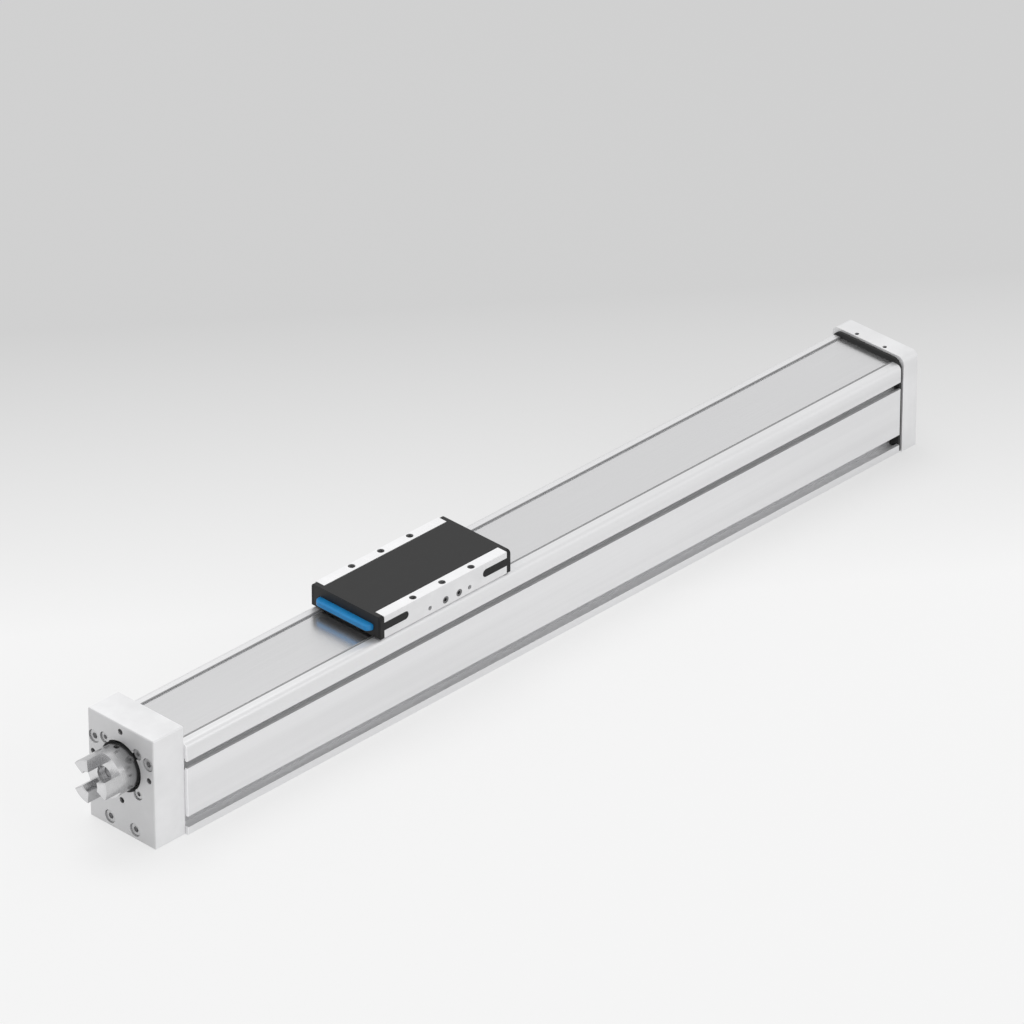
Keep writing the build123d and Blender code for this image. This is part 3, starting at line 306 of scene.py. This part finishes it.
def black_plastic():
    """Moulded black plastic with a fine spark-eroded texture; the end caps' sides are blacker as
    painted shade in the side slots.
    """
    g = Graph("black_plastic")
    cells = g.cells(2600.0)
    cloud = g.noise(120.0, 3.0)
    flat = g.mix(g.ramp(cloud, 0.0, 1.0), grey(0.011), grey(0.017))
    # Painted shade: the end caps' tongues in the side slots are blacker, standing in for the shade in
    # the slots.
    cap_side_painted_shade = g.within("Y", *CAP_SIDE_SHADE_Y, 2 * MASK_EDGE, True)
    g.set("Base Color", g.mix(cap_side_painted_shade, flat, grey(0.003)))
    g.set("Roughness", g.ramp(cloud, 0.46, 0.56))
    g.set("Specular IOR Level", 0.34)
    g.set("Normal", g.bump(cells, 0.22, 0.00007))
    return g.material


def gasket_rubber():
    g = Graph("gasket_rubber")
    grain = g.noise(1800.0, 3.0)
    g.set("Base Color", g.mix(g.ramp(grain, 0.0, 1.0), grey(0.012), grey(0.020)))
    g.set("Roughness", g.ramp(grain, 0.70, 0.82))
    g.set("Normal", g.bump(grain, 0.25, 0.00008))
    return g.material


def bumper_plastic():
    """Blue soft plastic, satin, faintly mottled; its underside is black as painted shade."""
    g = Graph("bumper_plastic")
    cloud = g.noise(180.0, 3.0)
    grain = g.noise(2400.0, 2.0)
    blue = g.mix(g.ramp(cloud, 0.0, 1.0), (0.004, 0.195, 0.480), (0.008, 0.235, 0.550))
    # Painted shade: the bumper's lowest face is black, standing in for the shade under it, so the
    # strip mirrors it dark.
    above_underside_shade = g.along("Z", BUMPER_LOW_Z + 0.0002, BUMPER_LOW_Z + 0.0008)
    g.set("Base Color", g.mix(above_underside_shade, grey(0.010), blue))
    g.set("Roughness", g.ramp(cloud, 0.38, 0.48))
    g.set("Normal", g.bump(grain, 0.12, 0.00006))
    return g.material


def white_plastic():
    g = Graph("white_plastic")
    cloud = g.noise(150.0, 3.0)
    g.set("Base Color", g.mix(g.ramp(cloud, 0.0, 1.0), grey(0.68), grey(0.76)))
    g.set("Roughness", g.ramp(cloud, 0.35, 0.45))
    return g.material


def magnet_rubber():
    g = Graph("magnet_rubber")
    grain = g.noise(900.0, 3.0)
    g.set("Base Color", g.mix(g.ramp(grain, 0.0, 1.0), (0.020, 0.017, 0.015), (0.035, 0.030, 0.026)))
    g.set("Roughness", g.ramp(grain, 0.65, 0.8))
    return g.material


def oxide_steel():
    """Black-oxide screws, slightly brighter where handled."""
    g = Graph("oxide_steel")
    cloud = g.noise(420.0, 4.0)
    g.set("Base Color", g.mix(g.ramp(cloud, 0.0, 1.0), grey(0.030), grey(0.065)))
    g.set("Metallic", 0.80)
    g.set("Roughness", g.ramp(cloud, 0.32, 0.46))
    g.set("Normal", g.bump(cloud, 0.06, 0.00006))
    return g.material


def zinc_steel(name="zinc_steel", low=0.50, high=0.62):
    g = Graph(name)
    cloud = g.noise(350.0, 4.0)
    g.set("Base Color", g.mix(g.ramp(cloud, 0.0, 1.0), grey(low), grey(high)))
    g.set("Metallic", 0.85)
    g.set("Roughness", g.ramp(cloud, 0.28, 0.40))
    g.set("Normal", g.bump(cloud, 0.06, 0.00006))
    return g.material


def ground_steel():
    """Ground and polished bearing steel."""
    g = Graph("ground_steel")
    lines = g.noise(1600.0, 3.0, (0.03, 1.0, 1.0))
    g.set("Base Color", g.mix(g.ramp(lines, 0.0, 1.0), grey(0.50), grey(0.58)))
    g.set("Metallic", 1.0)
    g.set("Roughness", g.ramp(lines, 0.16, 0.26))
    g.set("Normal", g.bump(lines, 0.05, 0.00004))
    return g.material


def machined_steel():
    g = Graph("machined_steel")
    lines = g.noise(1100.0, 3.0, (1.0, 0.2, 1.0))
    g.set("Base Color", g.mix(g.ramp(lines, 0.0, 1.0), grey(0.42), grey(0.52)))
    g.set("Metallic", 0.95)
    g.set("Roughness", g.ramp(lines, 0.28, 0.40))
    g.set("Normal", g.bump(lines, 0.06, 0.00005))
    return g.material


def turned_aluminium():
    """Turned coupling hub: tool rings round the axis; painted shade makes the sides darker than the
    faced ends and darker still towards the drive face.
    """
    g = Graph("turned_aluminium")
    rings = g.noise(2400.0, 2.0, (1.0, 0.02, 0.02))
    cloud = g.noise(90.0, 2.0)
    rim = g.mix(g.ramp(cloud, 0.0, 1.0), grey(0.54), grey(0.64))
    # Painted shade: the hub's sides darken towards the drive-face recess and stay darker than the end
    # faces.
    side = g.mix(g.along("X", DRIVE_FACE_X - 0.0110, DRIVE_FACE_X - 0.0005), rim, grey(0.24))
    face = g.mix(g.ramp(cloud, 0.0, 1.0), grey(0.68), grey(0.76))
    faced = g.ramp(g.combine("ABSOLUTE", g.part_of(g.normal, "X")), 0.0, 1.0, 0.35, 0.75)
    g.set("Base Color", g.mix(faced, side, face))
    g.set("Metallic", 0.92)
    g.set("Roughness", g.ramp(rings, 0.18, 0.30))
    g.set("Normal", g.bump(rings, 0.12, 0.00006))
    return g.material


def tapped_aluminium():
    """Cut thread flanks with a little oil; their near-black colour is mostly painted shade of the
    deep tapped holes.
    """
    g = Graph("tapped_aluminium")
    cloud = g.noise(700.0, 3.0)
    # Painted shade: near-black flanks stand in for the dark inside the tapped holes.
    g.set("Base Color", g.mix(g.ramp(cloud, 0.0, 1.0), grey(0.07), grey(0.13)))
    g.set("Metallic", 0.85)
    g.set("Roughness", g.ramp(cloud, 0.35, 0.50))
    return g.material


FINISH = {
    "anodised_aluminium": blasted_aluminium(),
    "strip_steel": strip_steel(),
    "black_plastic": black_plastic(),
    "black_rubber": gasket_rubber(),
    "blue_plastic": bumper_plastic(),
    "white_plastic": white_plastic(),
    "magnet_rubber": magnet_rubber(),
    "dark_screw_steel": oxide_steel(),
    "zinc_screw_steel": zinc_steel(),
    "machined_steel": machined_steel(),
    "guide_steel": ground_steel(),
    "hub_aluminium": turned_aluminium(),
}
EXTRUDED = extruded_aluminium()
MILLED = slide_aluminium()
TAPPED_PAINTED_SHADE = tapped_aluminium()
DULL_PLUG = zinc_steel("dull_zinc_steel", 0.15, 0.21)
SLOT_OF = {p["node"]: p["material_slot"] for p in frame["record"]["subparts"]}


def finish_nodes():
    """Gives every carried-over CAD node its material."""
    for name, node in NODES.items():
        material = FINISH[SLOT_OF[name]]
        if name == "profile":
            material = EXTRUDED
        if name == "carriage_body":
            material = MILLED
        if name == "port_plugs":
            material = DULL_PLUG
        node.data.materials.clear()
        node.data.materials.append(material)


# Mesh helpers

def new_piece(name, mesh, material, body):
    mesh.materials.append(material)
    piece = bpy.data.objects.new(name, mesh)
    bpy.context.scene.collection.objects.link(piece)
    if body:
        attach(piece, body)
    return piece


def shade(mesh, smooth_angle):
    for polygon in mesh.polygons:
        polygon.use_smooth = True
    edges = bmesh.new()
    edges.from_mesh(mesh)
    for edge in edges.edges:
        if len(edge.link_faces) == 2:
            edge.smooth = edge.calc_face_angle() < smooth_angle
    edges.to_mesh(mesh)
    edges.free()


def closed_mesh(name, verts, faces, smooth_angle=math.radians(35)):
    mesh = bpy.data.meshes.new(name)
    mesh.from_pydata(verts, [], faces)
    tidy = bmesh.new()
    tidy.from_mesh(mesh)
    bmesh.ops.recalc_face_normals(tidy, faces=tidy.faces)
    tidy.to_mesh(mesh)
    tidy.free()
    shade(mesh, smooth_angle)
    return mesh


# Cover strip: flat band with the hump that travels with the carriage

def strip_height(distance):
    """Underside of the strip above its seat at a distance from the carriage centre."""
    run = LIFT_START - LIFT_END
    radius = (run**2 + STRIP_LIFT**2) / (4 * STRIP_LIFT)
    if distance >= LIFT_START:
        return 0.0
    if distance <= LIFT_END:
        return STRIP_LIFT
    from_low = LIFT_START - distance
    if from_low < run / 2:
        return radius - math.sqrt(radius**2 - from_low**2)
    from_high = run - from_low
    return STRIP_LIFT - radius + math.sqrt(radius**2 - from_high**2)


def strip_half(name, side):
    """One half of the strip, from its fixed end to under the carriage lid."""
    steps = 16
    lift = [LIFT_START - (LIFT_START - LIFT_END) * i / steps for i in range(steps + 1)]
    fixed_x = STRIP_START_X if side < 0 else STRIP_END_X
    stations = [(fixed_x, 0.0), (side * PROFILE_HALF, 0.0)]
    stations += [(CARRIAGE_X + side * d, strip_height(d)) for d in lift]
    stations += [(CARRIAGE_X, STRIP_LIFT)]
    half = STRIP_W / 2
    edge = STRIP_T / 3
    rim = [
        (-half + edge, 0.0), (half - edge, 0.0), (half, edge), (half, STRIP_T - edge),
        (half - edge, STRIP_T), (-half + edge, STRIP_T), (-half, STRIP_T - edge), (-half, edge),
    ]
    count = len(rim)
    verts = [(x, y, STRIP_Z + h + z) for x, h in stations for y, z in rim]
    faces = []
    for row in range(len(stations) - 1):
        this, after = row * count, (row + 1) * count
        for i in range(count):
            j = (i + 1) % count
            faces.append((this + i, this + j, after + j, after + i))
    faces += [tuple(range(count)), tuple(len(verts) - count + i for i in range(count))]
    piece = new_piece(name, closed_mesh(name, verts, faces), FINISH["strip_steel"], None)
    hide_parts("cover_strip")
    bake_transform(piece)


# Ball screw: rolled ball track and turned journals

def track_section():
    """Radius across one lead: a round track between flat lands."""
    half = math.sqrt(GROOVE_R**2 - (GROOVE_R - GROOVE_DEPTH) ** 2)
    points = [(0.0, SPINDLE_R)]
    steps = 6
    for i in range(steps + 1):
        offset = -half + 2 * half * i / steps
        depth = math.sqrt(GROOVE_R**2 - offset**2) - (GROOVE_R - GROOVE_DEPTH)
        points.append((LEAD / 2 + offset, SPINDLE_R - depth))
    return points


def screw_thread():
    per_turn = 18
    section = track_section()
    count = len(section)
    turns = (THREAD_END_X - THREAD_START_X) / LEAD - 1
    rows = int(turns * per_turn) + 1
    verts = []
    for row in range(rows):
        angle = 2 * math.pi * row / per_turn
        base = THREAD_START_X + LEAD * row / per_turn
        for offset, radius in section:
            verts.append((base + offset, radius * math.cos(angle), AXIS_Z + radius * math.sin(angle)))
    faces = []
    for row in range(rows - 1):
        for i in range(count - 1):
            a = row * count + i
            faces.append((a, a + 1, a + 1 + count, a + count))
        next_turn = row + per_turn
        if next_turn + 1 < rows:
            a = row * count + count - 1
            b = next_turn * count
            faces.append((a, b, b + count, a + count))
    mesh = closed_mesh("ball_screw_thread", verts, faces, math.radians(50))
    piece = new_piece("ball_screw_thread", mesh, FINISH["guide_steel"], "spindle")
    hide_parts("ball_screw")


def lathe(name, outline, sides=40):
    """A closed body of revolution round the screw axis from (x, radius) points."""
    verts = []
    for x, radius in outline:
        for i in range(sides):
            angle = 2 * math.pi * i / sides
            verts.append((x, radius * math.cos(angle), AXIS_Z + radius * math.sin(angle)))
    faces = []
    for ring in range(len(outline) - 1):
        for i in range(sides):
            a = ring * sides + i
            b = ring * sides + (i + 1) % sides
            faces.append((a, b, b + sides, a + sides))
    faces.append(tuple(range(sides)))
    faces.append(tuple(len(verts) - sides + i for i in range(sides)))
    return closed_mesh(name, verts, faces)


def screw_journals():
    low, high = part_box("ball_screw")
    core = SPINDLE_R - GROOVE_DEPTH * 1.05
    tip_low = SPINDLE_TIP_R - TIP_CHAMFER
    drive = [
        (low.x, tip_low), (low.x + TIP_CHAMFER, SPINDLE_TIP_R), (SPINDLE_TIP_X, SPINDLE_TIP_R),
        (SPINDLE_TIP_X, JOURNAL_R), (SPINDLE_START_X, JOURNAL_R), (SPINDLE_START_X, SPINDLE_R),
        (THREAD_START_X + LEAD, SPINDLE_R), (THREAD_START_X + LEAD + 0.001, core),
    ]
    far = [
        (THREAD_END_X - LEAD - 0.001, core), (THREAD_END_X - LEAD, SPINDLE_R),
        (SPINDLE_END_X, SPINDLE_R), (SPINDLE_END_X, SPINDLE_TIP_R),
        (high.x - TIP_CHAMFER, SPINDLE_TIP_R), (high.x, tip_low),
    ]
    for name, outline in (("drive_side_journal", drive), ("end_side_journal", far)):
        piece = new_piece(name, lathe(name, outline), FINISH["guide_steel"], "spindle")
        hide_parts("ball_screw")


# Threads in the tapped holes, as a ridge that winds down the wall; sizes in pitches

RIDGE_HALF_HEIGHT = 0.42
RIDGE_REACH = 0.30
RIDGE_START = 0.6


def ridge(verts, faces, origin, inward, across, up, radius, depth, pitch):
    """Adds one helical ridge in a hole whose mouth is at origin and whose axis is inward."""
    per_turn = 20
    height = pitch * RIDGE_HALF_HEIGHT
    crest = radius - pitch * RIDGE_REACH
    rows = int(depth / pitch * per_turn)
    first = len(verts)
    for row in range(rows + 1):
        angle = 2 * math.pi * row / per_turn
        spoke = across * math.cos(angle) + up * math.sin(angle)
        base = origin + inward * (pitch * (RIDGE_START + row / per_turn))
        verts.append(tuple(base + spoke * radius - inward * height))
        verts.append(tuple(base + spoke * crest))
        verts.append(tuple(base + spoke * radius + inward * height))
    for row in range(rows):
        a = first + 3 * row
        for i in range(3):
            j = (i + 1) % 3
            faces.append((a + i, a + j, a + 3 + j, a + 3 + i))
    last = first + 3 * rows
    faces.append((first, first + 1, first + 2))
    faces.append((last, last + 1, last + 2))


def hole_threads():
    verts, faces = [], []
    pitch = TOP_THREAD_PITCH
    for ix in (-1, 0, 1):
        for iy in (-1, 1):
            mouth = Vector((CARRIAGE_X + ix * TOP_PITCH, iy * TOP_SPACING / 2, TOP_Z))
            depth = TOP_THREAD_DEPTH - 2 * pitch
            ridge(
                verts, faces, mouth, Vector((0, 0, -1)), Vector((1, 0, 0)), Vector((0, 1, 0)),
                TOP_THREAD_R, depth, pitch,
            )
    mesh = closed_mesh("carriage_hole_threads", verts, faces)
    new_piece("carriage_hole_threads", mesh, TAPPED_PAINTED_SHADE, "carriage")

    verts, faces = [], []
    pitch = MOTOR_THREAD_PITCH
    for i in range(4):
        angle = math.pi / 2 * i
        mouth = Vector((
            DRIVE_FACE_X, MOTOR_CIRCLE_R * math.cos(angle), AXIS_Z + MOTOR_CIRCLE_R * math.sin(angle)
        ))
        ridge(
            verts, faces, mouth, Vector((1, 0, 0)), Vector((0, 1, 0)), Vector((0, 0, 1)),
            MOTOR_THREAD_R, MOTOR_THREAD_DEPTH - 2 * pitch, pitch,
        )
    mesh = closed_mesh("drive_cover_hole_threads", verts, faces)
    new_piece("drive_cover_hole_threads", mesh, TAPPED_PAINTED_SHADE, "housing")


# Floor, light and world

FLOOR_NEAR = (0.90, 0.90, 0.90)
FLOOR_FAR = (0.62, 0.62, 0.62)
FLOOR_AWAY = (0.62, 0.78, 0.0)
FLOOR_GLOW = 0.7
FLOOR_HALF = 20.0
LIGHT_AIM = (0.0, 0.0, 0.05)


def make_floor():
    """Plain pale floor, a touch greyer towards the back."""
    g = Graph("studio_floor")
    tree = g.tree
    away = tree.nodes.new("ShaderNodeVectorMath")
    away.operation = "DOT_PRODUCT"
    away.inputs[1].default_value = FLOOR_AWAY
    g.link(g.coords, away.inputs[0])
    depth = g.ramp(away.outputs["Value"], 0.0, 1.0, 0.02, 0.42)
    colour = g.mix(depth, FLOOR_NEAR, FLOOR_FAR)
    tree.nodes.remove(g.shader)
    diffuse = tree.nodes.new("ShaderNodeBsdfDiffuse")
    glow = tree.nodes.new("ShaderNodeEmission")
    glow.inputs["Strength"].default_value = 1.0
    g.link(colour, diffuse.inputs["Color"])
    g.link(colour, glow.inputs["Color"])
    path = tree.nodes.new("ShaderNodeLightPath")
    seen = g.combine("MAXIMUM", path.outputs["Is Camera Ray"], path.outputs["Is Glossy Ray"])
    seen = g.combine("MAXIMUM", seen, path.outputs["Is Transmission Ray"])
    blend = tree.nodes.new("ShaderNodeMixShader")
    g.link(g.combine("MULTIPLY", seen, FLOOR_GLOW), blend.inputs["Fac"])
    g.link(diffuse.outputs["BSDF"], blend.inputs[1])
    g.link(glow.outputs["Emission"], blend.inputs[2])
    g.link(blend.outputs["Shader"], g.output.inputs["Surface"])

    half = FLOOR_HALF
    corners = [(-half, -half, 0), (half, -half, 0), (half, half, 0), (-half, half, 0)]
    mesh = bpy.data.meshes.new("studio_floor")
    mesh.from_pydata(corners, [], [(0, 1, 2, 3)])
    mesh.materials.append(g.material)
    floor = bpy.data.objects.new("studio_floor", mesh)
    bpy.context.scene.collection.objects.link(floor)


def area_light(name, location, target, size, watts):
    data = bpy.data.lights.new(name, "AREA")
    data.shape = "DISK"
    data.size = size
    data.energy = watts
    lamp = bpy.data.objects.new(name, data)
    bpy.context.scene.collection.objects.link(lamp)
    lamp.location = location
    lamp.rotation_mode = "QUATERNION"
    lamp.rotation_quaternion = (Vector(target) - Vector(location)).to_track_quat("-Z", "Y")


def make_light():
    world = bpy.data.worlds.new("studio_world")
    bpy.context.scene.world = world
    world.use_nodes = True
    background = world.node_tree.nodes["Background"]
    background.inputs["Color"].default_value = (1.0, 1.0, 1.0, 1.0)
    background.inputs["Strength"].default_value = 0.80
    area_light("key_light", (0.2, 1.0, 2.8), LIGHT_AIM, 1.8, 22.0)
    area_light("front_light", (0.6, -3.0, 1.5), LIGHT_AIM, 2.0, 16.0)
    scene = bpy.context.scene
    scene.view_settings.view_transform = "Standard"


make_camera()
finish_nodes()
strip_half("cover_strip_drive_side", -1)
strip_half("cover_strip_end_side", 1)
screw_thread()
screw_journals()
hole_threads()
make_floor()
make_light()
